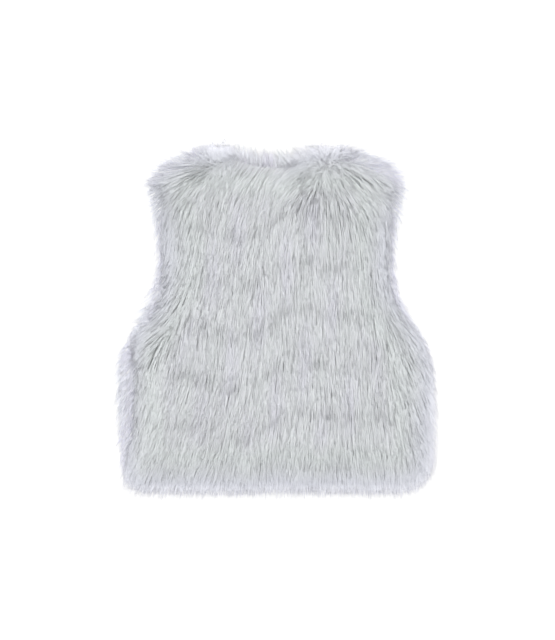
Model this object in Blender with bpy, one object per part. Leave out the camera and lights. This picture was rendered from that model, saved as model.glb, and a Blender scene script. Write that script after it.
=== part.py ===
"""A child's sleeveless gilet in long-pile faux fur, laid flat on its two fronts with its back up.

Each panel is one wall of fur cloth: a plain face on the inside, and on the outside the reach of the
lying pile, with its larger locks raised and its edges ending in uneven tufts.
Units are metres. +Z is up, +Y runs from hem to neck, and the origin is on the floor below the middle.
"""

import functools
import math

import bmesh
import bpy

# Thicknesses, from the floor up
FRONT_DEPTH = 0.0085  # front panel's cloth and the pile that its own weight presses flat
SEAM_GAP = 0.0003  # clear space between two pieces that meet
BACK_UNDER = FRONT_DEPTH + SEAM_GAP  # inside face of the back, which lies on the fronts
BACK_DEPTH = 0.0130  # back panel's cloth and its free-lying pile

# How an edge is rounded off
BACK_ROUND = 0.022  # the back's pile falls away over this width
BACK_RIM = 0.0028  # thickness left at the very edge
FRONT_ROUND = 0.010
FRONT_RIM_LOW = 0.0025  # where a front's rounded edge leaves the floor's plane
FRONT_RIM_HIGH = 0.0055
RIM_CLEARANCE = 0.0012  # how far an upper piece's lower rim stands off its inside plane

# The strip of each front that shows past the back, beside the side seam and armhole
ROLL_RISE = 0.0065  # its pile stands up by this much beyond the seam
ROLL_TOP_Y = 0.105  # the strip's rise dies out up here, towards the shoulder
STRIP_CLEARANCE = 0.0010  # kept free between the back's edge and the strip's rise

# Locks of pile on the back
LOCK_WIDTH = 0.030
LOCK_LENGTH = 0.056
LOCK_RISE = 0.0046
LOCK_TIP = 0.84  # share of its length where a lock is highest
LOCK_SWAY = 0.010  # sideways drift of the rows, so that they don't line up
LOCK_UNEVEN = 0.25  # half the share by which the lowest lock is lower than the highest
TUFT_WIDTH = 0.019  # spacing of the tufts that end an edge
HEM_TUFT = 0.0050  # reach of the tufts at the hem
SIDE_TUFT = 0.0022  # reach of the tufts at the sides and armholes

# Waves that make locks and tufts uneven, a row for each: share, length, phase
ROW_DRIFT = ((0.22, 0.041, 0.0), (0.12, 0.017, 0.6))
TUFT_DRIFT = ((0.18, 0.031, 0.0), (0.10, 0.013, 1.0))
TUFT_LENGTHS = ((0.28, 0.027, 2.0),)
ROW_TURN, COLUMN_TURN = 2.4, 5.1  # radians between one lock's size and place and the next one's

PLUMP = 0.7  # power that makes a swelling full rather than pointed
EDGE_CROWDING = 0.55  # how much closer the grid is near an edge than in the middle
SHARP_ANGLE = math.radians(50)  # edges bent further than this aren't shaded smooth

# Grid cells
BACK_CELLS = (58, 54)  # across, from hem to neck
STRIP_CELLS = 4  # across the strip that shows past the back
FRONT_CELLS = (20, 32)  # across the rest of a front, from hem to neck
FACING_CELLS = (26, 2, 4)  # along the neck, under the back, standing past it

# Outline of the back, a row for each section: height y, left edge, right edge
BACK_SIDES = (
    (-0.1780, -0.1580, 0.1590),
    (-0.1650, -0.1625, 0.1675),
    (-0.1200, -0.1590, 0.1690),
    (-0.0650, -0.1580, 0.1680),
    (-0.0300, -0.1570, 0.1620),
    (-0.0120, -0.1475, 0.1525),
    (0.0030, -0.1390, 0.1435),
    (0.0140, -0.1330, 0.1345),
    (0.0360, -0.1275, 0.1265),
    (0.0600, -0.1262, 0.1245),
    (0.0920, -0.1262, 0.1250),
    (0.1260, -0.1312, 0.1305),
    (0.1500, -0.1395, 0.1370),
)

# Shoulders and neck of the back, a row for each point: x, y
BACK_TOP = (
    (-0.1395, 0.1500),
    (-0.1260, 0.1625),
    (-0.1035, 0.1715),
    (-0.0810, 0.1800),
    (-0.0640, 0.1880),
    (-0.0416, 0.1820),
    (-0.0248, 0.1768),
    (-0.0020, 0.1742),
    (0.0200, 0.1768),
    (0.0394, 0.1830),
    (0.0515, 0.1885),
    (0.0710, 0.1825),
    (0.0930, 0.1745),
    (0.1160, 0.1645),
    (0.1370, 0.1500),
)

# Hem of the back: x, y
BACK_HEM = (
    (-0.1580, -0.1780),
    (-0.1450, -0.1850),
    (-0.1000, -0.1870),
    (-0.0200, -0.1860),
    (0.0200, -0.1845),
    (0.0900, -0.1868),
    (0.1450, -0.1845),
    (0.1590, -0.1780),
)

# Outline of the fronts, which reach furthest all round: height y, left edge, right edge
FRONT_SIDES = (
    (-0.1850, -0.1660, 0.1650),
    (-0.1720, -0.1735, 0.1730),
    (-0.1500, -0.1760, 0.1760),
    (-0.1100, -0.1760, 0.1760),
    (-0.0650, -0.1770, 0.1772),
    (-0.0450, -0.1765, 0.1755),
    (-0.0300, -0.1725, 0.1700),
    (-0.0120, -0.1630, 0.1605),
    (0.0030, -0.1530, 0.1520),
    (0.0140, -0.1450, 0.1425),
    (0.0280, -0.1395, 0.1370),
    (0.0480, -0.1345, 0.1335),
    (0.0700, -0.1320, 0.1310),
    (0.0920, -0.1330, 0.1315),
    (0.1150, -0.1365, 0.1350),
    (0.1370, -0.1415, 0.1400),
    (0.1550, -0.1445, 0.1440),
)

# Shoulders and the plain V neck of the fronts: x, y
FRONT_TOP = (
    (-0.1445, 0.1550),
    (-0.1365, 0.1705),
    (-0.1200, 0.1815),
    (-0.0980, 0.1915),
    (-0.0740, 0.1970),
    (-0.0600, 0.1860),
    (-0.0300, 0.1470),
    (0.0000, 0.1150),
    (0.0280, 0.1470),
    (0.0530, 0.1860),
    (0.0650, 0.1970),
    (0.0900, 0.1930),
    (0.1160, 0.1840),
    (0.1350, 0.1710),
    (0.1440, 0.1550),
)

# Hem of the fronts: x, y
FRONT_HEM = (
    (-0.1660, -0.1850),
    (-0.1510, -0.1910),
    (-0.1000, -0.1928),
    (-0.0400, -0.1930),
    (0.0000, -0.1895),
    (0.0500, -0.1928),
    (0.1200, -0.1915),
    (0.1480, -0.1895),
    (0.1650, -0.1850),
)

# Tips of the pile on the neck facing, which stands up behind the neck edge: x, y
FACING_TIPS = (
    (-0.0560, 0.1955),
    (-0.0420, 0.1950),
    (-0.0300, 0.1915),
    (-0.0080, 0.1895),
    (0.0150, 0.1885),
    (0.0260, 0.1905),
    (0.0370, 0.1935),
    (0.0465, 0.1955),
)
FACING_INSIDE = 0.0220  # how far the facing reaches down inside the neck
FACING_STAND = 0.0050  # how far its pile stands above the back's inside plane
FACING_CLEARANCE = 0.0030  # kept between the facing and the fronts' neck edges

# Soft swells and hollows of the back's pile: x, y, radius, rise
SWELLS = (
    (-0.1080, 0.1450, 0.060, 0.0022),
    (0.0920, 0.1480, 0.060, 0.0026),
    (0.0020, 0.0700, 0.055, -0.0018),
    (-0.0850, -0.0600, 0.080, 0.0016),
    (0.0150, -0.0900, 0.045, -0.0014),
    (0.1050, -0.1100, 0.070, 0.0018),
)

# Pile colours, paler and a little bluer at the ends of the hair, which is what shows past the back
BACK_COLOUR = (0.60, 0.62, 0.64, 1.0)
FRONT_COLOUR = (0.64, 0.66, 0.72, 1.0)
FACING_COLOUR = (0.73, 0.74, 0.80, 1.0)
FUR_ROUGHNESS = 0.9


def clear_scene():
    for thing in list(bpy.data.objects):
        bpy.data.objects.remove(thing)


def slopes(keys, values):
    """Slope of a smooth curve at each key, level where the values turn back."""
    steps = [(values[i + 1] - values[i]) / (keys[i + 1] - keys[i]) for i in range(len(keys) - 1)]
    inner = []
    for before, after in zip(steps, steps[1:]):
        inner.append(0.0 if before * after <= 0 else 2 * before * after / (before + after))
    return [steps[0], *inner, steps[-1]]


def read(table, key, column):
    """Smooth value of a column at a key, held level beyond the table's ends."""
    keys = [row[0] for row in table]
    values = [row[column] for row in table]
    if key <= keys[0]:
        return values[0]
    if key >= keys[-1]:
        return values[-1]
    i = max(k for k in range(len(keys) - 1) if keys[k] <= key)
    m = slopes(keys, values)
    width = keys[i + 1] - keys[i]
    t = (key - keys[i]) / width
    rise = t * t * (3 - 2 * t)
    return (
        values[i] * (1 - rise)
        + values[i + 1] * rise
        + width * t * (1 - t) * ((1 - t) * m[i] - t * m[i + 1])
    )


def mix(a, b, t):
    return a + (b - a) * t


def crown(distance, width):
    """0 at an edge, rising as a quarter circle to 1 at this width from it."""
    short = 1 - min(distance / width, 1.0)
    return math.sqrt(max(0.0, 1 - short * short))


def waves(table, along):
    return sum(share * math.sin(along / length + phase) for share, length, phase in table)


def tufts(along):
    """Uneven row of pointed tufts along an edge, from 0 between them to 1 at a long one's tip."""
    longest = sum(share for share, _, _ in TUFT_LENGTHS)
    reach = 1 - longest + waves(TUFT_LENGTHS, along)
    return reach * abs(math.sin(math.pi * (along / TUFT_WIDTH + waves(TUFT_DRIFT, along)))) ** PLUMP


def lock(x, y):
    """Rise of the pile's locks: each rises from its roots to its tip, then drops to the next row's roots."""
    down = waves(ROW_DRIFT, x) - y / LOCK_LENGTH
    row = math.floor(down)
    along = down - row
    across = (x + LOCK_SWAY * math.sin(ROW_TURN * row)) / LOCK_WIDTH + 0.5 * (row % 2)
    column = math.floor(across)
    size = 1 - LOCK_UNEVEN * (1 + math.sin(ROW_TURN * row + COLUMN_TURN * column))
    ramp = min((along / LOCK_TIP) ** PLUMP, (1 - along) / (1 - LOCK_TIP))
    return LOCK_RISE * size * ramp * math.sin(math.pi * (across - column)) ** PLUMP


def swell(x, y):
    rise = 0.0
    for cx, cy, radius, height in SWELLS:
        rise += height * math.exp(-((x - cx) ** 2 + (y - cy) ** 2) / radius**2)
    return rise


def spaced(count):
    """Places from 0 to 1, closer together near both ends, where an edge is rounded."""
    even = [i / count for i in range(count + 1)]
    return [mix(t, 0.5 - 0.5 * math.cos(math.pi * t), EDGE_CROWDING) for t in even]


def boundary(rows):
    """The grid's outer points, once round."""
    return rows[0][:-1] + [r[-1] for r in rows[:-1]] + rows[-1][:0:-1] + [r[0] for r in rows[:0:-1]]


def edge_distances(plan):
    """Distance of each grid point from the nearest point of the panel's edge."""
    rim = boundary(plan)
    return [[min(math.dist(point, other) for other in rim) for point in row] for row in plan]


def fur_material(name, colour):
    made = bpy.data.materials.new(name)
    made.use_nodes = True
    shader = made.node_tree.nodes["Principled BSDF"]
    shader.inputs["Base Color"].default_value = colour
    shader.inputs["Roughness"].default_value = FUR_ROUGHNESS
    shader.inputs["Metallic"].default_value = 0.0
    return made


def wall(name, plan, top, rim_low, under, material):
    """One closed panel from a grid: its upper face at the heights in top, and a flat underside whose
    outermost ring of cells slopes up to rim_low at the edge."""
    mesh = bmesh.new()
    upper = [[mesh.verts.new((*p, z)) for p, z in zip(ps, zs)] for ps, zs in zip(plan, top)]
    last_row, last_column = len(plan) - 1, len(plan[0]) - 1
    lower = {}
    for j, row in enumerate(plan):
        for i, p in enumerate(row):
            on_edge = i in (0, last_column) or j in (0, last_row)
            next_in = i in (1, last_column - 1) or j in (1, last_row - 1)
            if on_edge or next_in:
                lower[i, j] = mesh.verts.new((*p, rim_low if on_edge else under))
    for j in range(last_row):
        for i in range(last_column):
            corners = ((i, j), (i + 1, j), (i + 1, j + 1), (i, j + 1))
            mesh.faces.new([upper[b][a] for a, b in corners])
            if i in (0, last_column - 1) or j in (0, last_row - 1):
                mesh.faces.new([lower[c] for c in reversed(corners)])
    indices = [[(i, j) for i in range(last_column + 1)] for j in range(last_row + 1)]
    ring = boundary(indices)
    for (i, j), (a, b) in zip(ring, ring[1:] + ring[:1]):
        mesh.faces.new([upper[b][a], upper[j][i], lower[i, j], lower[a, b]])
    inner = boundary([row[1:-1] for row in indices[1:-1]])
    mesh.faces.new([lower[c] for c in reversed(inner)])
    bmesh.ops.recalc_face_normals(mesh, faces=mesh.faces)
    data = bpy.data.meshes.new(name)
    mesh.to_mesh(data)
    mesh.free()
    data.materials.append(material)
    data.shade_smooth()
    data.set_sharp_from_angle(angle=SHARP_ANGLE)
    made = bpy.data.objects.new(name, data)
    bpy.context.scene.collection.objects.link(made)


def edge(sides, side, y):
    """x of a panel's left (side -1) or right (side 1) edge at a height, with its tufts."""
    column = 1 if side < 0 else 2
    return read(sides, y, column) + side * SIDE_TUFT * tufts(y + side * TUFT_WIDTH / 3)


def across_back(u, y):
    """x on the back at a height: u runs from 0 at its left edge to 1 at its right."""
    return mix(edge(BACK_SIDES, -1, y), edge(BACK_SIDES, 1, y), u)


def across_front(side, u, y):
    """x on a front at a height: u runs from -1 at its outer edge to 0 just past the back's edge, then to
    1 at the middle."""
    column = 1 if side < 0 else 2
    seam = read(BACK_SIDES, y, column) + side * (SIDE_TUFT + STRIP_CLEARANCE)
    if u < 0:
        return mix(seam, edge(FRONT_SIDES, side, y), -u)
    return mix(seam, side * SEAM_GAP / 2, u)


def panel_plan(x_at, across, up, hem, top):
    """Grid of a panel: each line across it, placed by x_at, runs from the hem to the top edge."""
    lines = []
    for u in across:
        hem_x = x_at(u, hem[0][1])
        inward = min(hem_x - hem[0][0], hem[-1][0] - hem_x)
        low = read(hem, hem_x, 1) - HEM_TUFT * tufts(hem_x) * crown(inward, TUFT_WIDTH)
        high = read(top, x_at(u, top[0][1]), 1)
        heights = [mix(low, high, v) for v in up]
        lines.append([(x_at(u, y), y) for y in heights])
    return [list(row) for row in zip(*lines)]


def make_back(material):
    across, up = (spaced(count) for count in BACK_CELLS)
    plan = panel_plan(across_back, across, up, BACK_HEM, BACK_TOP)
    top = []
    for row, distances in zip(plan, edge_distances(plan)):
        heights = []
        for (x, y), distance in zip(row, distances):
            full = crown(distance, BACK_ROUND)
            pile = mix(BACK_RIM, BACK_DEPTH, full) + full * (lock(x, y) + swell(x, y))
            heights.append(BACK_UNDER + pile)
        top.append(heights)
    wall("back", plan, top, BACK_UNDER + RIM_CLEARANCE, BACK_UNDER, material)


def roll(u, y):
    """Rise of a front's pile where it shows past the back's edge."""
    fade = crown(ROLL_TOP_Y - y, ROLL_TOP_Y)
    return ROLL_RISE * fade * math.sin(-math.pi * u) ** PLUMP if -1 < u < 0 else 0.0


def make_front(name, side, material):
    strip = [i / STRIP_CELLS - 1 for i in range(STRIP_CELLS)]
    across = strip + spaced(FRONT_CELLS[0])
    up = spaced(FRONT_CELLS[1])
    plan = panel_plan(functools.partial(across_front, side), across, up, FRONT_HEM, FRONT_TOP)
    top = []
    for row, distances in zip(plan, edge_distances(plan)):
        heights = []
        for u, (_, y), distance in zip(across, row, distances):
            plain = mix(FRONT_RIM_HIGH, FRONT_DEPTH, crown(distance, FRONT_ROUND))
            heights.append(plain + roll(u, y))
        top.append(heights)
    wall(name, plan, top, FRONT_RIM_LOW, 0.0, material)


def make_neck_facing(material):
    along, under_cells, stand_cells = FACING_CELLS
    first, last = FACING_TIPS[0][0], FACING_TIPS[-1][0]
    under_rows = [i / under_cells for i in range(under_cells)]
    stand_rows = [i / stand_cells for i in range(stand_cells + 1)]
    plan, top = [], []
    for standing, shares in ((False, under_rows), (True, stand_rows)):
        for t in shares:
            points, heights = [], []
            for i in range(along + 1):
                x = mix(first, last, i / along)
                neck = read(BACK_TOP, x, 1) + STRIP_CLEARANCE
                inside = max(neck - FACING_INSIDE, read(FRONT_TOP, x, 1) + FACING_CLEARANCE)
                tip = read(FACING_TIPS, x, 1) + SIDE_TUFT * tufts(x)
                y = mix(neck, tip, t) if standing else mix(min(inside, neck), neck, t)
                points.append((x, y))
                rise = FACING_STAND * math.sin(math.pi * t) ** PLUMP if standing else 0.0
                heights.append(FRONT_DEPTH + rise)
            plan.append(points)
            top.append(heights)
    wall("neck_facing", plan, top, FRONT_RIM_LOW, 0.0, material)


def main():
    clear_scene()
    front_fur = fur_material("front_fur", FRONT_COLOUR)
    make_back(fur_material("back_fur", BACK_COLOUR))
    make_front("front_left", -1, front_fur)
    make_front("front_right", 1, front_fur)
    make_neck_facing(fur_material("facing_fur", FACING_COLOUR))


main()
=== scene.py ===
"""Looks of the laid-out faux-fur gilet: thin backing cloth for each panel, and its long pile as strands.

Every panel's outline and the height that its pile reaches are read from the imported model. The pile
lies along a nap that is blended from a short table, in locks whose strands draw together at their tips.
Units are metres, +Y runs from hem to neck, and the garment lies on its fronts at z = 0.
"""

import math
from typing import NamedTuple

import bmesh
import bpy
import numpy as np
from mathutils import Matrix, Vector, geometry, kdtree
from mathutils.bvhtree import BVHTree


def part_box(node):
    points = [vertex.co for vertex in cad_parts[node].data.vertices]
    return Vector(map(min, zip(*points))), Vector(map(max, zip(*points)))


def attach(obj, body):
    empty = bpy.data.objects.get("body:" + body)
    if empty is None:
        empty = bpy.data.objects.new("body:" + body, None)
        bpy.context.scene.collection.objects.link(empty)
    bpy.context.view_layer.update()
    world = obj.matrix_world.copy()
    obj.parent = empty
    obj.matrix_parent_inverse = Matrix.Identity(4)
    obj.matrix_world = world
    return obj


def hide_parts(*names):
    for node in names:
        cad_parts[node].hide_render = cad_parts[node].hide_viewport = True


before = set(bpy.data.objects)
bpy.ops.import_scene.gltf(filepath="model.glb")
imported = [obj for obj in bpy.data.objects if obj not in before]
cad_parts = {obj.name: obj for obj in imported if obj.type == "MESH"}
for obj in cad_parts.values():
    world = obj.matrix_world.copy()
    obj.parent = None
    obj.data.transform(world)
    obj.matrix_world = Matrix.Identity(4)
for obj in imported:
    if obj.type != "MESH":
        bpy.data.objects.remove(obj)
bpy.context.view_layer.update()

SEED = 20
SAME_POINT = 1e-6  # points nearer than this are one
RAY_START = 1.0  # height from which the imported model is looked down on
FRONTS = ("front_left", "front_right")

# Backing cloth
CLOTH_THICKNESS = 0.0015
CLOTH_CELL = 0.008  # spacing of the points inside a panel
CLOTH_SHARP = math.radians(40)  # its edges are bent further than this, and aren't shaded smooth
WITHIN_RING = 1  # the way of filling a ring that leaves out what lies outside it
EDGE_SPACING = 0.004  # spacing of the points round a panel
EDGE_SMOOTHING = 6  # rounds of smoothing that take the tufts out of an outline
SEAM_GAP = 0.0003  # between the back's cloth and the fronts'
LEANING_MARGIN = 0.004  # the back's pile starts this far within its outline where it lies outwards
EDGE_MARGIN = 0.0025  # from the outermost roots to the edge of the cloth
FRONT_MARGIN = 0.004  # least from a front's outline to its cloth
MARGIN_STEP = 0.0005  # by which it grows until the back's cloth covers it
FACING_MARGIN = 0.002  # from the facing's outline and the neck edge to its cloth
MIDDLE_MARGIN = 0.001  # the fronts' cloth meets at the middle, with little pile between
MIDDLE_WIDTH = 0.004  # to each side of it
BACK_HEM = -0.182  # the cloth ends here at the hem, and the pile hangs on past it
FRONT_HEM = -0.183
BACK_SECTION = 0.0107  # heights at which the panels are at their widest
FRONT_SECTION = 0.0045

# Grid on which areas are marked
GRID_CELL = 0.0004
GRID_CELLS = 1100
GRID_HALF = GRID_CELL * GRID_CELLS / 2
GRID_MIDDLES = (np.arange(GRID_CELLS) + 0.5) * GRID_CELL - GRID_HALF  # of its cells, along x or y
NOTCH = 23  # cells to each side over which a gap in the outline is closed
OVERSHOOT = 21  # cells by which single tips may reach past the outline

# Strands
ROW_HEIGHT = math.sqrt(0.75)  # between the rows of a staggered grid, as a share of its spacing
GRID_JITTER = 0.42  # most that a point moves off it, in the same shares
SECTION = np.radians((90, 210, 330))  # corners of a strand's three-sided section
WIDTH_SPREAD = (0.75, 1.25)  # thinnest and thickest strand, as shares of the pile's own width
STRAY_POWER = 1.5  # how late a strand strays
TIP_POWER = 2.2  # how late a strand tapers
PATH_STEPS = 16  # along a lock
FLOOR_GAP = 0.0010  # middle of the lowest strands
LIE_SHARE = 0.33  # a strand has risen to its full height at this share of its length
TIP_DROP = 0.02  # share of its height by which its tip sinks again
LEAST_ROOM = 0.12  # shortest strand, as a share of its lock
FLYAWAYS = 0.04  # share of the strands that stray far
FLYAWAY_STRAY = 3.0  # how many times as far as the rest
ROOT_SHARE = 0.65  # height of an edge strand's root, as a share of the rest
LOCK_LIKENESS = 0.35  # how much the strands of a lock share their height
LOCK_TINT = 0.6  # how much they share their tone
TONE_SPREAD = 0.4  # tones past this are painted shade and painted light towards the edges
FADE = 0.7  # power that leaves fewer strands the nearer they come to the edge of their area


class Pile(NamedTuple):
    """How one kind of pile grows."""

    rings: tuple  # where along a strand its rings of points lie, before its tip
    strands: int  # in a lock
    gather: float  # share by which a lock closes towards its tip
    fray: float  # sideways stray of a strand's tip
    width: float  # of a strand at its root
    length: tuple  # shortest and longest lock
    lean: float  # a lock's own turn off the nap
    layers: tuple  # lowest and highest strand, as shares of the pile's height
    short: tuple  # how far before the edge of its area the highest and the lowest strands end


BACK_PILE = Pile(
    rings=(0.0, 0.33, 0.67), strands=3, gather=0.10, fray=0.0006, width=0.00050, length=(0.040, 0.058),
    lean=math.radians(2.5), layers=(0.91, 1.0), short=(-0.004, 0.015),
)
UNDER_PILE = Pile(
    rings=(0.0, 0.40), strands=5, gather=0.30, fray=0.0030, width=0.00160, length=(0.030, 0.044),
    lean=math.radians(9), layers=(0.35, 1.0), short=(0.0, 0.006),
)
FRINGE_PILE = Pile(
    rings=(0.0, 0.45), strands=5, gather=0.30, fray=0.0012, width=0.00040, length=(0.016, 0.034),
    lean=math.radians(8), layers=(0.55, 1.0), short=(-0.001, 0.016),
)
WHORL_PILE = BACK_PILE._replace(
    fray=0.0030, length=(0.016, 0.038), lean=math.radians(30), layers=(0.90, 1.06), short=(0.0, 0.004),
)
NECK_PILE = Pile(
    rings=(0.0, 0.45), strands=6, gather=0.45, fray=0.0016, width=0.00040, length=(0.024, 0.040),
    lean=math.radians(9), layers=(0.45, 1.0), short=(0.0, 0.016),
)

BACK_STRANDS = 0.00165  # spacing of the roots
BACK_PIECES = ("yoke", "upper", "lower", "hem")
UNDER_STRANDS = 0.0040
UNDER_MARGIN = 0.008  # the pile below a front ends this far within its outline
FRINGE_STRANDS = 0.00135
FRINGE_DEPTH = 0.008  # its roots start this far within the back's outline
FRINGE_MARGIN = 0.002  # and end this far within their own
FRINGE_SHORT = 14  # cells by which it ends before the outline below hanging pile
FRINGE_BELOW = 0.85  # share of its height that it has where the back's pile hangs over it
BACK_INSET = 10  # cells from the back's outline to where its pile may end
# Cells by which a lock of it may reach past that, and has to stay within the garment's outline
BACK_REACH = ((2, 6), (6, 0), (12, 4), (22, 2))
WHORLS = ((0.054, 0.175), (-0.062, 0.181))  # where the pile parts to all sides, and grows denser
WHORL_RADIUS = 0.018
WHORL_STRANDS = 1000
WHORL_RISE = 0.8  # height of the roots in the middle of one and along the neck, as a share of the pile's
SHOULDER_Y = 0.150  # the neck line lies above this
EDGE_PILE = 0.0025  # height of the back's pile over its cloth at its outline
EDGE_SLOPE = 0.30  # steepest rise of it from there
PAINTED_EDGE_SHADING_REACH = 0.060  # the painted shade and light of the edge run over this depth within the outline
RIM_DEPTH = 0.0045  # and the last of them, painted light at the rim, has this much of its own
GROOVE_PAINTED_SHADE = 0.76  # tone that the last of them is held to where the fronts' pile lies between: painted shade in the groove there

# Boxes in which the back's pile hides the fronts': least x and y, most x and y
OVERHANGS = (
    (-0.2, 0.150, 0.2, 0.2),
    (-0.150, -0.2, 0.160, -0.155),
    (0.120, -0.2, 0.2, 0.000),
    (-0.2, -0.032, -0.120, -0.005),
    (-0.166, -0.052, -0.120, -0.032),
    (-0.2, -0.2, -0.120, -0.146),
    (-0.170, -0.146, -0.120, -0.132),
)
HANGING = OVERHANGS[1:]  # those where it hangs down, and the fronts' ends early below it
NECK_BOX = (-0.070, 0.150, 0.080, 0.2)  # the back's pile has no edge towards this, so no painted edge shade or light runs in from it
SIDE_OUT = 0.25  # how much the pile at the edges leans out beside its nap
NECK_STRANDS = 4200
NECK_DEPTH = (0.001, 0.012)  # roots below the neck edge
NECK_ENDS = (-0.070, 0.080)

# Nap by places: x, y, and lean from straight down towards +X in degrees
NAP = {
    "left top edge": (
        (-0.141, 0.169, -95), (-0.125, 0.182, -110), (-0.106, 0.188, -120), (-0.091, 0.193, -138),
        (-0.068, 0.196, -165), (-0.064, 0.188, -165), (-0.080, 0.187, -140),
    ),
    "left shoulder": (
        (-0.105, 0.176, -74), (-0.109, 0.164, -66), (-0.135, 0.156, -78), (-0.138, 0.141, -60),
        (-0.120, 0.144, -50), (-0.098, 0.144, -35), (-0.086, 0.141, -20), (-0.073, 0.156, -24),
    ),
    "neck": (
        (-0.060, 0.171, -25), (-0.038, 0.167, -34), (-0.029, 0.171, -42), (0.001, 0.167, -39),
        (0.024, 0.167, -54), (0.036, 0.159, -36), (0.043, 0.174, -88), (0.053, 0.160, -8),
        (-0.015, 0.141, -12), (-0.060, 0.126, -8),
    ),
    "right top edge": (
        (0.046, 0.187, -140), (0.060, 0.187, 155), (0.077, 0.192, 130), (0.092, 0.187, 108),
        (0.122, 0.179, 95), (0.138, 0.165, 80),
    ),
    "right shoulder": (
        (0.064, 0.166, 35), (0.077, 0.174, 66), (0.092, 0.173, 66), (0.125, 0.162, 68),
        (0.137, 0.150, 60), (0.129, 0.145, 46), (0.095, 0.155, 36), (0.115, 0.144, 30),
        (0.084, 0.153, 30), (0.059, 0.149, 11),
    ),
    "left armhole": (
        (-0.120, 0.119, -20), (-0.128, 0.092, -6), (-0.098, 0.081, -8), (-0.117, 0.053, -22),
        (-0.100, 0.115, -10), (-0.072, 0.110, -6), (-0.070, 0.075, -6),
        (-0.125, 0.035, -35), (-0.135, 0.002, -49), (-0.145, -0.018, -57), (-0.098, 0.051, -12),
        (-0.090, 0.012, -15),
    ),
    "right armhole": (
        (0.123, 0.110, 5), (0.083, 0.096, 7), (0.107, 0.065, 0), (0.125, 0.035, 10),
        (0.137, 0.006, 38), (0.145, -0.010, 42), (0.115, 0.006, 4),
    ),
    "middle": (
        (0.000, 0.100, -8), (0.050, 0.100, -2), (-0.045, 0.030, -8), (0.000, 0.050, -3), (0.050, 0.040, 0),
        (0.000, 0.000, -2), (0.055, -0.030, 0), (-0.030, -0.040, -6), (-0.009, -0.087, -3),
    ),
    "left side": (
        (-0.155, -0.037, -36), (-0.127, -0.037, -17), (-0.101, -0.029, -8), (-0.141, -0.072, -12),
        (-0.162, -0.073, -24), (-0.124, -0.101, -15), (-0.059, -0.101, -13),
    ),
    "right side": (
        (0.165, -0.034, 35), (0.173, -0.051, 22), (0.129, -0.029, 12), (0.101, -0.037, 4),
        (0.087, -0.055, 5), (0.165, -0.116, 19), (0.172, -0.142, 25), (0.137, -0.116, 8),
    ),
    "hem": (
        (-0.160, -0.159, -22), (-0.088, -0.152, -15), (-0.096, -0.185, -18), (-0.045, -0.180, -10),
        (-0.001, -0.173, -3), (0.022, -0.173, -5), (0.059, -0.116, -2), (0.116, -0.180, 3),
        (0.137, -0.159, 5), (0.178, -0.170, 20),
    ),
}
NAP_PLACES = np.array([row for rows in NAP.values() for row in rows])
NAP_REACH = 0.012  # a place rules the nap about this far around it
WIND_LEAN = math.radians(2.4)  # how far the waves below turn the nap

# Waves that ruffle the nap, a row for each: radians per metre in x and in y, phase, share
WIND = np.array((
    (55.0, 19.0, 0.0, 0.7),
    (-16.0, 26.0, 1.0, 0.8),
    (100.0, 13.0, 2.0, 0.5),
    (30.0, -44.0, 4.0, 0.4),
))

# Waves of paler pile, in the same form
PALE = np.array((
    (160.0, 30.0, 0.5, 0.16),
    (-90.0, 45.0, 2.0, 0.18),
    (230.0, -20.0, 3.3, 0.14),
))
PALE_MIDDLE = 0.5  # what they swing about
PALE_SHARE = 0.55  # how much of a strand's tone comes from them

# Waves of the points at the hem, a row for each: radians per metre in x, phase, depth
HEM_POINTS = np.array((
    (760.0, 0.0, 0.0018),
    (1190.0, 2.0, 0.0014),
    (430.0, 4.0, 0.0012),
))
HEM_CORNER = 0.120  # from this x on, the hem curves up to the right side
HEM_CURVE = 3.0  # by this times the square of the way past it

# Pile that stands up behind the neck: x, lean from straight up towards +X in degrees
NECK_NAP = np.array(((-0.070, -20), (-0.030, -2), (0.000, -16), (0.030, -38), (0.055, -22), (0.080, 25)))

# Pile colours, from root to middle to tip
# The back's root is paler than its middle and tip: painted light that lifts the shade in the gaps between
# locks, where the roots show
BACK_COLOURS = ((0.92, 0.932, 0.944), (0.729, 0.745, 0.758), (0.752, 0.759, 0.793))
# The fronts' and the facing's pile is much paler than the back's: partly its lavender tint, partly painted
# light that lifts the shade below the back's edge and behind the neck
FRONT_COLOURS = ((0.925, 0.93, 1.0), (0.93, 0.935, 1.0), (0.945, 0.947, 1.0))
NECK_COLOURS = ((0.945, 0.95, 1.0), (0.955, 0.96, 1.0), (0.965, 0.967, 1.0))

# Tones that they are multiplied by: three for the strands' own, then three more towards the outline. Those
# three are painted shade, darker in a band within the edge, and then painted light, paler at the rim, with
# a lavender tint
TONES_AND_PAINTED_EDGE_SHADING = (
    (0.967, 0.947, 1.02), (0.972, 0.975, 0.981), (0.955, 0.977, 0.962),
    (0.875, 0.884, 0.893), (0.86, 0.86, 0.91), (1.22, 1.205, 1.26),
)
PILE_ROUGHNESS = (0.70, 0.54)  # at the root and at the tip
PILE_SPECULAR = 0.25
PILE_SHEEN = 0.3
PILE_SHEEN_ROUGHNESS = 0.5

# Backing cloth's colours and knit
CLOTH_COLOURS = ((0.76, 0.77, 0.79), (0.84, 0.85, 0.87))
CLOTH_ROUGHNESS = (0.95, 0.80)  # between its ribs and on them
CLOUD_SCALE = 60.0
RIB_SCALE = 400.0
RIB_STRENGTH = 0.4
RIB_HEIGHT = 0.0004

# Floor, which is partly lit by itself, so that it is as white as the photo's
FLOOR_SIZE = 12.0
FLOOR_COLOUR = (0.3, 0.3, 0.3, 1)
FLOOR_ROUGHNESS = 0.9
FLOOR_GLOW = 0.72
WHITE = (1, 1, 1, 1)

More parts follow.
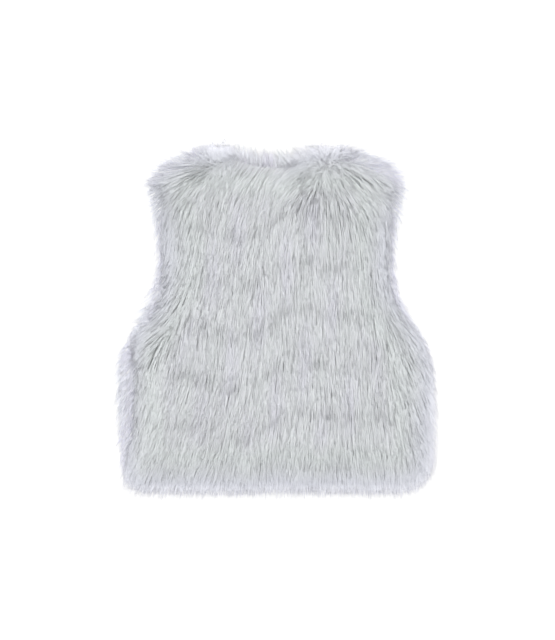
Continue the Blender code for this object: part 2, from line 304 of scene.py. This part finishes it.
# Soft light from all round, brighter near the horizon, and from overhead
SKY_STRENGTH = (2.0, 0.78)  # at the horizon and above
SKY_BAND = 0.5  # the first passes into the second up to this height of a unit sphere
SUN_STRENGTH = 1.5
SUN_SPREAD = math.radians(50)
SUN_TILT = (math.radians(-16), math.radians(-3), 0)

# Camera, straight above as in the photo
FRAME_HEIGHT = 0.720  # length that the picture's long side takes in
FRAME_CENTRE = (0.0006, 0.0023)
CAMERA_HEIGHT = 2.4
SENSOR = 36.0


def tree_of(node):
    """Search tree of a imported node's surface."""
    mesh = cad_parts[node].data
    corners = [vertex.co for vertex in mesh.vertices]
    return BVHTree.FromPolygons(corners, [face.vertices for face in mesh.polygons])


def reach_over(tree, points, elsewhere):
    """Height of a node's upper face at each (x, y), or the other height where it has none there."""
    flat = points.reshape(-1, 2)
    down = Vector((0, 0, -1))
    heights = np.full(len(flat), elsewhere)
    for i, (x, y) in enumerate(flat):
        place = tree.ray_cast(Vector((x, y, RAY_START)), down)[0]
        if place:
            heights[i] = place.z
    return heights.reshape(points.shape[:-1])


def evenly(ring, spacing):
    """The same closed ring with points this far apart."""
    closed = np.vstack((ring, ring[:1]))
    steps = np.linalg.norm(np.diff(closed, axis=0), axis=1)
    places = np.concatenate(([0.0], np.cumsum(steps)))
    wanted = np.linspace(0, places[-1], int(places[-1] / spacing), endpoint=False)
    return np.column_stack([np.interp(wanted, places, closed[:, axis]) for axis in (0, 1)])


def ring_area(ring):
    """Area within a ring, positive where it runs anticlockwise."""
    x, y = ring.T
    return 0.5 * float(np.sum(x * np.roll(y, -1) - y * np.roll(x, -1)))


def outline(node, height):
    """Ring of (x, y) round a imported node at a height, evenly spaced and running anticlockwise."""
    mesh = bmesh.new()
    mesh.from_mesh(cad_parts[node].data)
    bmesh.ops.remove_doubles(mesh, verts=mesh.verts, dist=SAME_POINT)
    everything = mesh.verts[:] + mesh.edges[:] + mesh.faces[:]
    cut = bmesh.ops.bisect_plane(mesh, geom=everything, plane_co=(0, 0, height), plane_no=(0, 0, 1))
    edges = {part for part in cut["geom_cut"] if isinstance(part, bmesh.types.BMEdge)}
    edge = next(part for part in cut["geom_cut"] if part in edges)
    vertex = edge.verts[0]
    ring = []
    while edge:
        edges.discard(edge)
        ring.append(vertex.co.xy[:])
        vertex = edge.other_vert(vertex)
        edge = next((other for other in vertex.link_edges if other in edges), None)
    mesh.free()
    ring = evenly(np.array(ring), EDGE_SPACING)
    return ring if ring_area(ring) > 0 else ring[::-1]


def smoothed(ring):
    """The same ring without its tufts."""
    for _ in range(EDGE_SMOOTHING):
        ring = (np.roll(ring, 1, axis=0) + 2 * ring + np.roll(ring, -1, axis=0)) / 4
    return ring


def outward(ring):
    """Unit normal at each point of an anticlockwise ring, pointing out of it."""
    along = np.roll(ring, -2, axis=0) - np.roll(ring, 2, axis=0)
    normal = np.column_stack((along[:, 1], -along[:, 0]))
    return normal / np.linalg.norm(normal, axis=1, keepdims=True)


def moved_in(ring, margin, hem):
    """A panel's outline, smoothed and moved in by the margin, and cut straight at the hem."""
    ring = smoothed(ring)
    ring = ring - outward(ring) * np.broadcast_to(margin, len(ring))[:, None]
    ring[:, 1] = np.maximum(ring[:, 1], hem)
    return evenly(ring, EDGE_SPACING)


def raster(ring):
    """Grid of cells that is true within a closed ring."""
    (ax, ay), (bx, by) = ring.T, np.roll(ring, -1, axis=0).T
    rows, edges = np.nonzero((ay > GRID_MIDDLES[:, None]) != (by > GRID_MIDDLES[:, None]))
    share = (GRID_MIDDLES[rows] - ay[edges]) / (by - ay)[edges]
    crossings = ax[edges] + share * (bx - ax)[edges]
    marks = np.zeros((GRID_CELLS, GRID_CELLS), int)
    np.add.at(marks, (rows, ((crossings + GRID_HALF) / GRID_CELL).astype(int)), 1)
    return np.cumsum(marks, axis=1) % 2 == 1


def in_boxes(*boxes):
    """Grid of cells that is true within boxes, each of which has its least x and y and its most."""
    x, y = GRID_MIDDLES, GRID_MIDDLES[:, None]
    parts = [(x > left) & (x < right) & (y > low) & (y < high) for left, low, right, high in boxes]
    return np.logical_or.reduce(parts)


def spread(area, cells):
    """The same area with this many more cells on every side."""
    for axis in (0, 1):
        area = np.logical_or.reduce([np.roll(area, step, axis=axis) for step in range(-cells, cells + 1)])
    return area


def rounded_out(area):
    """The same area with its narrow notches filled, and a little wider all round."""
    return ~spread(~spread(area, NOTCH), NOTCH - OVERSHOOT)


def with_points(area):
    """The same area with its hem cut into uneven points, and rounded at its right corner."""
    depth = np.sin(GRID_MIDDLES[:, None] * HEM_POINTS[:, 0] + HEM_POINTS[:, 1]) @ HEM_POINTS[:, 2]
    corner = HEM_CURVE * np.maximum(GRID_MIDDLES - HEM_CORNER, 0) ** 2
    lowest = np.argmax(area, axis=0) + (np.maximum(depth, 0) + corner) / GRID_CELL
    return area & (np.arange(GRID_CELLS)[:, None] >= lowest)


def within(area, points):
    """True for each point in an area's cells."""
    cells = np.clip(((points + GRID_HALF) / GRID_CELL).astype(int), 0, GRID_CELLS - 1)
    return area[cells[..., 1], cells[..., 0]]


def nearest(places, points):
    """Index of the place nearest to each point, and how far away that is."""
    tree = kdtree.KDTree(len(places))
    for i, (x, y) in enumerate(places):
        tree.insert((x, y, 0), i)
    tree.balance()
    found = [tree.find((x, y, 0))[1:] for x, y in points.reshape(-1, 2)]
    index, distance = zip(*found)
    return np.array(index).reshape(points.shape[:-1]), np.array(distance).reshape(points.shape[:-1])


def depth_within(area, points):
    """How far within an area each point lies."""
    rows, columns = np.nonzero(area & spread(~area, 1))
    edge = np.column_stack((GRID_MIDDLES[columns], GRID_MIDDLES[rows]))
    return nearest(edge, points)[1] * within(area, points)


def margin_within(ring, area, least):
    """Margin at each point of a ring that takes it into an area."""
    edge = smoothed(ring)
    margin = np.broadcast_to(least, len(ring)).copy()
    for _ in range(GRID_CELLS):
        outside = ~within(area, edge - outward(edge) * margin[:, None])
        if not outside.any():
            break
        margin[outside] += MARGIN_STEP
    return margin


def scattered(area, spacing, rng):
    """Staggered grid of points within an area, each moved a little at random."""
    rows = np.arange(-GRID_HALF, GRID_HALF, spacing * ROW_HEIGHT)
    x, y = np.meshgrid(np.arange(-GRID_HALF, GRID_HALF, spacing), rows)
    x = x + np.where(np.arange(len(rows)) % 2, spacing / 2, 0)[:, None]
    points = np.column_stack((x.ravel(), y.ravel()))
    points += rng.uniform(-GRID_JITTER, GRID_JITTER, points.shape) * spacing
    return points[within(area, points)]


def mesh_object(name, points, faces, material):
    """An object from an array of points and a list of face arrays, one for each number of corners."""
    corners = np.concatenate([face.ravel() for face in faces])
    sizes = np.concatenate([np.full(len(face), face.shape[1]) for face in faces])
    mesh = bpy.data.meshes.new(name)
    mesh.vertices.add(len(points))
    mesh.vertices.foreach_set("co", points.astype(np.float32).ravel())
    mesh.loops.add(len(corners))
    mesh.loops.foreach_set("vertex_index", corners.astype(np.int32))
    mesh.polygons.add(len(sizes))
    mesh.polygons.foreach_set("loop_start", (np.cumsum(sizes) - sizes).astype(np.int32))
    mesh.update(calc_edges=True)
    mesh.shade_smooth()
    mesh.materials.append(material)
    made = bpy.data.objects.new(name, mesh)
    bpy.context.scene.collection.objects.link(made)
    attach(made, "root")
    return made


def make_cloth(node, ring, under, material):
    """Thin closed shell of backing cloth within a ring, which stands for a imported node."""
    grid = scattered(raster(ring), CLOTH_CELL, np.random.default_rng(SEED))
    near = np.linalg.norm(grid[:, None] - ring[None], axis=2).min(axis=1)
    grid = grid[near > CLOTH_CELL / 2]
    plan = [Vector(point) for point in np.vstack((ring, grid))]
    edge = [(i, (i + 1) % len(ring)) for i in range(len(ring))]
    found, _, faces, *_ = geometry.delaunay_2d_cdt(plan, edge, [], WITHIN_RING, SAME_POINT)
    flat = np.array([point[:] for point in found])
    faces = np.array(faces)
    count = len(flat)
    lower = np.column_stack((flat, np.full(count, under)))
    upper = np.column_stack((flat, np.full(count, under + CLOTH_THICKNESS)))
    sides = np.concatenate([faces[:, pair] for pair in ((0, 1), (1, 2), (2, 0))])
    _, first, uses = np.unique(np.sort(sides, axis=1), axis=0, return_index=True, return_counts=True)
    rim = sides[first[uses == 1]]
    walls = np.column_stack((rim, rim[:, ::-1] + count))
    skin = [faces[:, ::-1], faces + count, walls]
    made = mesh_object(f"{node}_cloth", np.vstack((lower, upper)), skin, material)
    made.data.set_sharp_from_angle(angle=CLOTH_SHARP)
    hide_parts(node)
    return made


def turned(directions, angles):
    """Each (x, y) direction turned by its angle."""
    cos, sin = np.cos(angles), np.sin(angles)
    x, y = directions.T
    return np.column_stack((x * cos - y * sin, x * sin + y * cos))


def nap(points):
    """Unit direction in which the pile lies at each point."""
    gaps = ((points[:, None] - NAP_PLACES[None, :, :2]) ** 2).sum(axis=2)
    weights = 1 / (gaps + NAP_REACH**2) ** 2
    leans = np.radians(NAP_PLACES[:, 2])
    way = weights @ np.column_stack((np.sin(leans), -np.cos(leans)))
    way /= np.linalg.norm(way, axis=1, keepdims=True)
    wind = np.sin(points @ WIND[:, :2].T + WIND[:, 2]) @ WIND[:, 3]
    return turned(way, WIND_LEAN * wind)


def follow(roots, lengths, turns, way):
    """Paths from the roots along a field of directions, each turned off it by its own angle."""
    places = [roots]
    for _ in range(PATH_STEPS):
        step = turned(way(places[-1]), turns)
        places.append(places[-1] + step * (lengths / PATH_STEPS)[:, None])
    return np.stack(places, axis=1)


def resampled(paths, shares, pile):
    """The points that a pile's strands have along the first share of each path."""
    last = paths.shape[1] - 1
    places = np.array((*pile.rings, 1.0))[None] * shares[:, None] * last
    before = np.minimum(places.astype(int), last - 1)
    part = (places - before)[..., None]
    rows = np.arange(len(paths))[:, None]
    return paths[rows, before] * (1 - part) + paths[rows, before + 1] * part


def held_share(paths, areas, choice):
    """Share of each path that lies in the area chosen for it before it first leaves it."""
    held = np.stack([within(area, paths) for area in areas])[choice, np.arange(len(paths))]
    steps = np.where(held.all(axis=1), PATH_STEPS, np.argmin(held, axis=1))
    return steps / PATH_STEPS


def part_shared(lock, likeness, rng):
    """Random number from 0 to 1 for each strand, in part its lock's own."""
    whole = rng.uniform(0, 1, lock.max() + 1)[lock]
    return likeness * whole + (1 - likeness) * rng.uniform(0, 1, len(lock))


def grow(pile, roots, way, areas, rng):
    """Plan of a pile's strands, and each strand's layer and tone. A lock keeps within one of the areas.

    Some of the roots lead a lock, and the others follow the nearest of them: they run beside its path,
    draw in towards it and stray at their tips."""
    count = len(roots)
    leaders = roots[rng.choice(count, count // pile.strands, replace=False)]
    lock, _ = nearest(leaders, roots)
    lengths = rng.uniform(*pile.length, len(leaders))
    turns = rng.normal(0, pile.lean, len(leaders))
    paths = follow(leaders, lengths, turns, way)[lock]
    share = np.linspace(0, 1, PATH_STEPS + 1)[None, :, None]
    stray = pile.fray * np.where(rng.uniform(0, 1, count) < FLYAWAYS, FLYAWAY_STRAY, 1.0)
    fray = rng.normal(0, 1, (count, 2)) * stray[:, None]
    beside = (roots - leaders[lock])[:, None]
    paths += beside * (1 - pile.gather * share) + fray[:, None] * share**STRAY_POWER
    choice = rng.integers(len(areas), size=len(leaders))[lock]
    rank = part_shared(lock, LOCK_LIKENESS, rng)
    layer = np.interp(rank, (0, 1), pile.layers)
    highest, lowest = pile.short
    short = highest + (lowest - highest) * (1 - rank) ** FADE
    room = np.clip(held_share(paths, areas, choice) - short / lengths[lock], LEAST_ROOM, 1.0)
    plan = resampled(paths, room, pile)
    pale = PALE_MIDDLE + np.sin(roots @ PALE[:, :2].T + PALE[:, 2]) @ PALE[:, 3]
    tone = TONE_SPREAD * (PALE_SHARE * pale + (1 - PALE_SHARE) * part_shared(lock, LOCK_TINT, rng))
    return plan, layer, np.repeat(tone[:, None], plan.shape[1], axis=1)


def strand_mesh(name, pile, plan, heights, tones, material, rng):
    """Joined three-sided strands, each tapering from its root to a point. Their UV map holds the tone at
    each point across, which on the back carries painted shade and light near its outline, and the way from
    root to tip up."""
    paths = np.concatenate((plan, heights[..., None]), axis=2)
    count, rings = len(paths), len(pile.rings)
    along = np.gradient(paths, axis=1)
    along /= np.linalg.norm(along, axis=2, keepdims=True)
    side = np.cross(along, (0.0, 0.0, 1.0))
    side /= np.linalg.norm(side, axis=2, keepdims=True)
    over = np.cross(side, along)
    share = np.array(pile.rings)
    widths = pile.width * rng.uniform(*WIDTH_SPREAD, count)
    radius = 0.5 * widths[:, None] * (1 - share**TIP_POWER)[None]
    angles = SECTION[None] + rng.uniform(0, 2 * math.pi, (count, 1))
    corner_ways = (
        np.cos(angles)[:, None, :, None] * side[:, :rings, None]
        + np.sin(angles)[:, None, :, None] * over[:, :rings, None]
    )
    sections = paths[:, :rings, None] + radius[:, :, None, None] * corner_ways
    points = np.concatenate((sections.reshape(count, rings * 3, 3), paths[:, -1:]), axis=1)
    size = rings * 3 + 1
    last = size - 4
    quads, triangles = [], [(0, 1, 2)]
    for corner, after in ((0, 1), (1, 2), (2, 0)):
        for low in range(0, last, 3):
            quads.append((low + corner, low + 3 + corner, low + 3 + after, low + after))
        triangles.append((last + corner, size - 1, last + after))
    starts = (np.arange(count) * size)[:, None, None]
    faces = [
        (starts + np.array(quads)[None]).reshape(-1, 4),
        (starts + np.array(triangles)[None]).reshape(-1, 3),
    ]
    made = mesh_object(name, points.reshape(-1, 3), faces, material)
    up = np.append(np.repeat(share, 3), 1.0)
    across = np.concatenate((np.repeat(tones[:, :rings], 3, axis=1), tones[:, -1:]), axis=1)
    places = np.stack((across.ravel(), np.tile(up, count)), axis=1)
    corners = np.concatenate([face.ravel() for face in faces])
    uv_map = made.data.uv_layers.new(name="OFBake")
    uv_map.data.foreach_set("uv", places[corners].astype(np.float32).ravel())
    return made


def lie(pile):
    """Rise of a lying strand at its rings and tip: up from its root, then level, with a sunken tip."""
    share = np.array((*pile.rings, 1.0))
    rise = np.sin(np.minimum(share / LIE_SHARE, 1) * math.pi / 2)
    return rise - TIP_DROP * np.maximum(share - LIE_SHARE, 0) / (1 - LIE_SHARE)


def whorl_roots(rng):
    """Extra roots around the places where the pile parts."""
    middles = np.repeat(WHORLS, WHORL_STRANDS, axis=0)
    return middles + rng.normal(0, WHORL_RADIUS / 2, middles.shape)


def neck_edge(back):
    """The back's neck line from left to right, as x and y."""
    left, right = NECK_ENDS
    upper = back[(back[:, 0] > left) & (back[:, 0] < right) & (back[:, 1] > SHOULDER_Y)]
    return upper[np.argsort(upper[:, 0])].T


def make_back_fur(ring, whole, areas, grown, top, material):
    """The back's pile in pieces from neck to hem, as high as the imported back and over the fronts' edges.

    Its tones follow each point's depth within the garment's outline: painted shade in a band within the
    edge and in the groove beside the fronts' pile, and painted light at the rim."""
    rng = np.random.default_rng(SEED)
    roots = scattered(grown, BACK_STRANDS, rng)
    laid = grow(BACK_PILE, roots[np.argsort(-roots[:, 1])], nap, areas, rng)
    parted = grow(WHORL_PILE, whorl_roots(rng), nap, areas, rng)
    plan, layer, tone = (np.concatenate(pair) for pair in zip(parted, laid))
    to_edge = nearest(smoothed(ring), plan)[1] * np.where(within(raster(ring), plan), 1, -1)
    depth = depth_within(whole | in_boxes(NECK_BOX), plan)
    # Painted shade, then painted light, towards the outline: the tone climbs the edge stops as the depth
    # falls
    tone += (1 - tone) * np.clip(1 - (depth - RIM_DEPTH) / PAINTED_EDGE_SHADING_REACH, 0, 1)
    # Painted shade where the fronts' pile lies between: the rim's painted light is held back there
    tone = np.where(within(in_boxes(*OVERHANGS), plan), tone, np.minimum(tone, GROOVE_PAINTED_SHADE))
    edge_reach = top + EDGE_PILE
    reach = np.maximum(reach_over(tree_of("back"), plan, edge_reach), edge_reach)
    reach = np.minimum(reach, edge_reach + EDGE_SLOPE * to_edge)
    to_raised = nearest(np.vstack((WHORLS, neck_edge(ring).T)), plan[:, 0])[1]
    rise = np.maximum(lie(BACK_PILE), WHORL_RISE * np.exp(-((to_raised / WHORL_RADIUS) ** 2))[:, None])
    z = top + (reach - top) * layer[:, None] * rise
    parts = np.array_split(np.arange(len(plan)), len(BACK_PIECES))
    return [
        strand_mesh(f"back_fur_{name}", BACK_PILE, plan[part], z[part], tone[part], material, rng)
        for name, part in zip(BACK_PIECES, parts)
    ]


def make_under_fur(node, ring, cloth, under, material):
    """A front's pile below its cloth, pressed flat on the surface."""
    rng = np.random.default_rng(SEED)
    roots = scattered(raster(cloth), UNDER_STRANDS, rng)
    area = raster(moved_in(ring, UNDER_MARGIN, ring[:, 1].min() + UNDER_MARGIN))
    plan, layer, tone = grow(UNDER_PILE, roots, nap, [area], rng)
    z = under - (under - FLOOR_GAP) * layer[:, None] * lie(UNDER_PILE)
    return strand_mesh(f"{node}_fur_under", UNDER_PILE, plan, z, tone, material, rng)


def leaning_out(edge, normals):
    """Nap that leans out a little more, by the normal of the nearest edge."""
    def way(points):
        ways = nap(points) + SIDE_OUT * normals[nearest(edge, points)[0]]
        return ways / np.linalg.norm(ways, axis=1, keepdims=True)
    return way


def risen(pile, plan, layer, node, elsewhere):
    """Heights of strands that lie between the floor and a node's top, rising from their roots. They fill
    the groove beside the back's edge: none is lower than what follows along it."""
    reach = reach_over(tree_of(node), plan, elsewhere)
    reach = np.maximum.accumulate(reach[:, ::-1], axis=1)[:, ::-1]
    rise = ROOT_SHARE + (1 - ROOT_SHARE) * lie(pile)
    return FLOOR_GAP + (reach - FLOOR_GAP) * layer[:, None] * rise


def make_fringe(node, ring, back, area, cloth_top, material):
    """A front's pile where it shows past the back's edge, from shoulder to hem."""
    rng = np.random.default_rng(SEED)
    covered = raster(moved_in(back, FRINGE_DEPTH, back[:, 1].min()))
    grown = raster(moved_in(ring, FRINGE_MARGIN, ring[:, 1].min()))
    roots = scattered(grown & ~covered, FRINGE_STRANDS, rng)
    edge = smoothed(ring)
    kept = area & ~(in_boxes(*HANGING) & spread(~area, FRINGE_SHORT))
    plan, layer, tone = grow(FRINGE_PILE, roots, leaning_out(edge, outward(edge)), [kept], rng)
    z = risen(FRINGE_PILE, plan, layer, node, cloth_top)
    z *= np.where(within(area & in_boxes(*OVERHANGS), plan), FRINGE_BELOW, 1.0)
    return strand_mesh(f"{node}_fur_edge", FRINGE_PILE, plan, z, tone, material, rng)


def neck_way(points):
    """Direction in which the facing's pile stands at each point."""
    leans = np.radians(np.interp(points[:, 0], NECK_NAP[:, 0], NECK_NAP[:, 1]))
    return np.column_stack((np.sin(leans), np.cos(leans)))


def make_neck_fur(back, area, cloth_top, material):
    """The facing's pile, which stands up behind the neck edge."""
    rng = np.random.default_rng(SEED)
    x = rng.uniform(*NECK_ENDS, NECK_STRANDS)
    y = np.interp(x, *neck_edge(back)) - rng.uniform(*NECK_DEPTH, NECK_STRANDS)
    plan, layer, tone = grow(NECK_PILE, np.column_stack((x, y)), neck_way, [area], rng)
    z = risen(NECK_PILE, plan, layer, "neck_facing", cloth_top)
    return strand_mesh("neck_facing_fur", NECK_PILE, plan, z, tone, material, rng)


def ramp(nodes, colours):
    """Colour ramp node through evenly spaced colours."""
    made = nodes.new("ShaderNodeValToRGB")
    places = np.linspace(0, 1, len(colours))
    for place in places[1:-1]:
        made.color_ramp.elements.new(place)
    for element, colour in zip(made.color_ramp.elements, colours):
        element.color = (*colour, 1)
    return made


def between(nodes, first, last):
    """Node that takes 0 to the first value and 1 to the last."""
    made = nodes.new("ShaderNodeMapRange")
    made.inputs["To Min"].default_value = first
    made.inputs["To Max"].default_value = last
    return made


def fur_material(name, colours):
    """Pile whose colour runs from root to tip, multiplied by the strands' tones. Near the back's outline
    those tones are painted shade and painted light, and the back's pale root is painted light too.
    """
    made = bpy.data.materials.new(name)
    made.use_nodes = True
    nodes, links = made.node_tree.nodes, made.node_tree.links
    shader = nodes["Principled BSDF"]
    shader.inputs["Specular IOR Level"].default_value = PILE_SPECULAR
    shader.inputs["Sheen Weight"].default_value = PILE_SHEEN
    shader.inputs["Sheen Roughness"].default_value = PILE_SHEEN_ROUGHNESS
    uv = nodes.new("ShaderNodeUVMap")
    uv.uv_map = "OFBake"
    apart = nodes.new("ShaderNodeSeparateXYZ")
    links.new(uv.outputs["UV"], apart.inputs["Vector"])
    along = ramp(nodes, colours)
    links.new(apart.outputs["Y"], along.inputs["Fac"])
    tone = ramp(nodes, TONES_AND_PAINTED_EDGE_SHADING)
    links.new(apart.outputs["X"], tone.inputs["Fac"])
    shade = nodes.new("ShaderNodeVectorMath")
    shade.operation = "MULTIPLY"
    links.new(along.outputs["Color"], shade.inputs[0])
    links.new(tone.outputs["Color"], shade.inputs[1])
    links.new(shade.outputs["Vector"], shader.inputs["Base Color"])
    rough = between(nodes, *PILE_ROUGHNESS)
    links.new(apart.outputs["Y"], rough.inputs["Value"])
    links.new(rough.outputs["Result"], shader.inputs["Roughness"])
    return made


def cloth_material():
    """Knitted backing, a little uneven in colour, with its fine ribs in bump and roughness."""
    made = bpy.data.materials.new("backing_knit")
    made.use_nodes = True
    nodes, links = made.node_tree.nodes, made.node_tree.links
    shader = nodes["Principled BSDF"]
    place = nodes.new("ShaderNodeTexCoord")
    cloud = nodes.new("ShaderNodeTexNoise")
    cloud.inputs["Scale"].default_value = CLOUD_SCALE
    links.new(place.outputs["Object"], cloud.inputs["Vector"])
    colour = ramp(nodes, CLOTH_COLOURS)
    links.new(cloud.outputs["Fac"], colour.inputs["Fac"])
    links.new(colour.outputs["Color"], shader.inputs["Base Color"])
    ribs = nodes.new("ShaderNodeTexWave")
    ribs.inputs["Scale"].default_value = RIB_SCALE
    links.new(place.outputs["Object"], ribs.inputs["Vector"])
    bump = nodes.new("ShaderNodeBump")
    bump.inputs["Strength"].default_value = RIB_STRENGTH
    bump.inputs["Distance"].default_value = RIB_HEIGHT
    links.new(ribs.outputs["Fac"], bump.inputs["Height"])
    rough = between(nodes, *CLOTH_ROUGHNESS)
    links.new(ribs.outputs["Fac"], rough.inputs["Value"])
    links.new(rough.outputs["Result"], shader.inputs["Roughness"])
    links.new(bump.outputs["Normal"], shader.inputs["Normal"])
    return made


def make_floor():
    """White floor, which isn't part of the garment."""
    bpy.ops.mesh.primitive_plane_add(size=FLOOR_SIZE)
    floor = bpy.context.object
    floor.name = "floor"
    white = bpy.data.materials.new("floor_white")
    white.use_nodes = True
    shader = white.node_tree.nodes["Principled BSDF"]
    shader.inputs["Base Color"].default_value = FLOOR_COLOUR
    shader.inputs["Roughness"].default_value = FLOOR_ROUGHNESS
    shader.inputs["Emission Color"].default_value = WHITE
    shader.inputs["Emission Strength"].default_value = FLOOR_GLOW
    floor.data.materials.append(white)


def make_light():
    """Soft studio light."""
    scene = bpy.context.scene
    scene.view_settings.view_transform = "Standard"
    world = bpy.data.worlds.new("studio")
    world.use_nodes = True
    nodes, links = world.node_tree.nodes, world.node_tree.links
    nodes["Background"].inputs["Color"].default_value = WHITE
    way = nodes.new("ShaderNodeTexCoord")
    apart = nodes.new("ShaderNodeSeparateXYZ")
    links.new(way.outputs["Generated"], apart.inputs["Vector"])
    strength = between(nodes, *SKY_STRENGTH)
    strength.inputs["From Max"].default_value = SKY_BAND
    links.new(apart.outputs["Z"], strength.inputs["Value"])
    links.new(strength.outputs["Result"], nodes["Background"].inputs["Strength"])
    scene.world = world
    light = bpy.data.lights.new("overhead", "SUN")
    light.energy = SUN_STRENGTH
    light.angle = SUN_SPREAD
    lamp = bpy.data.objects.new("overhead", light)
    lamp.rotation_euler = SUN_TILT
    scene.collection.objects.link(lamp)


def make_camera():
    """Camera above the garment, which takes in what the photo does."""
    scene = bpy.context.scene
    camera = bpy.data.objects.new("camera", bpy.data.cameras.new("camera"))
    scene.collection.objects.link(camera)
    camera.data.sensor_width = SENSOR
    camera.data.lens = SENSOR * CAMERA_HEIGHT / FRAME_HEIGHT
    camera.location = (*FRAME_CENTRE, CAMERA_HEIGHT)
    scene.camera = camera


def back_roots(ring, margin):
    """Edge of the back's cloth or of its roots, further in where the pile lies outwards."""
    edge = smoothed(ring)
    leaning = np.clip((nap(edge) * outward(edge)).sum(axis=1), 0, 1)
    return moved_in(ring, margin + LEANING_MARGIN * leaning, BACK_HEM)


def back_cloth(ring):
    """Edge of the back's cloth."""
    return back_roots(ring, EDGE_MARGIN)


def make_back(ring, whole, areas, top_of_fronts, cloth_look):
    """The back's cloth and pile, on top of the fronts."""
    under = top_of_fronts + SEAM_GAP
    edge = back_cloth(ring)
    cloth = make_cloth("back", edge, under, cloth_look)
    look = fur_material("back_pile", BACK_COLOURS)
    grown = raster(back_roots(ring, 0.0))
    pieces = make_back_fur(ring, whole, areas, grown, under + CLOTH_THICKNESS, look)


def make_front(node, ring, back, area, top, cloth_look, look):
    """One front: its cloth, the pile below it and the fringe beside the back."""
    least = np.where(np.abs(ring[:, 0]) < MIDDLE_WIDTH, MIDDLE_MARGIN, FRONT_MARGIN)
    edge = moved_in(ring, margin_within(ring, raster(back_cloth(back)), least), FRONT_HEM)
    cloth = make_cloth(node, edge, top - CLOTH_THICKNESS, cloth_look)
    pieces = [
        make_under_fur(node, ring, edge, top - CLOTH_THICKNESS, look),
        make_fringe(node, ring, back, area, top, look),
    ]
    return cloth


def make_neck_facing(ring, back, area, top, cloth_look):
    """The strip inside the neck: its cloth and its standing pile."""
    edge = moved_in(ring, FACING_MARGIN, ring[:, 1].min())
    edge[:, 1] = np.minimum(edge[:, 1], np.interp(edge[:, 0], *neck_edge(back)) - FACING_MARGIN)
    edge = evenly(edge, EDGE_SPACING)
    cloth = make_cloth("neck_facing", edge, top - CLOTH_THICKNESS, cloth_look)
    fur = make_neck_fur(back, area, top, fur_material("neck_pile", NECK_COLOURS))


def main():
    """Builds the garment from the floor up, and then what is around it."""
    back = outline("back", BACK_SECTION)
    facing = outline("neck_facing", FRONT_SECTION)
    fronts = {node: outline(node, FRONT_SECTION) for node in FRONTS}
    panels = np.logical_or.reduce([raster(ring) for ring in (back, facing, *fronts.values())])
    whole = with_points(rounded_out(panels))
    top_of_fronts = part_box("back")[0][2] - SEAM_GAP
    cloth_look = cloth_material()
    front_look = fur_material("front_pile", FRONT_COLOURS)
    laid = [
        make_front(node, ring, back, whole, top_of_fronts, cloth_look, front_look)
        for node, ring in fronts.items()
    ]
    make_neck_facing(facing, back, whole, top_of_fronts, cloth_look)
    areas = []
    for past, short in BACK_REACH:
        kept = ~spread(~whole, short)
        reached = spread(~spread(~raster(back), BACK_INSET), past)
        areas.append(kept & (reached | in_boxes(*OVERHANGS)))
    make_back(back, whole, areas, top_of_fronts, cloth_look)
    make_floor()
    make_light()
    make_camera()


main()
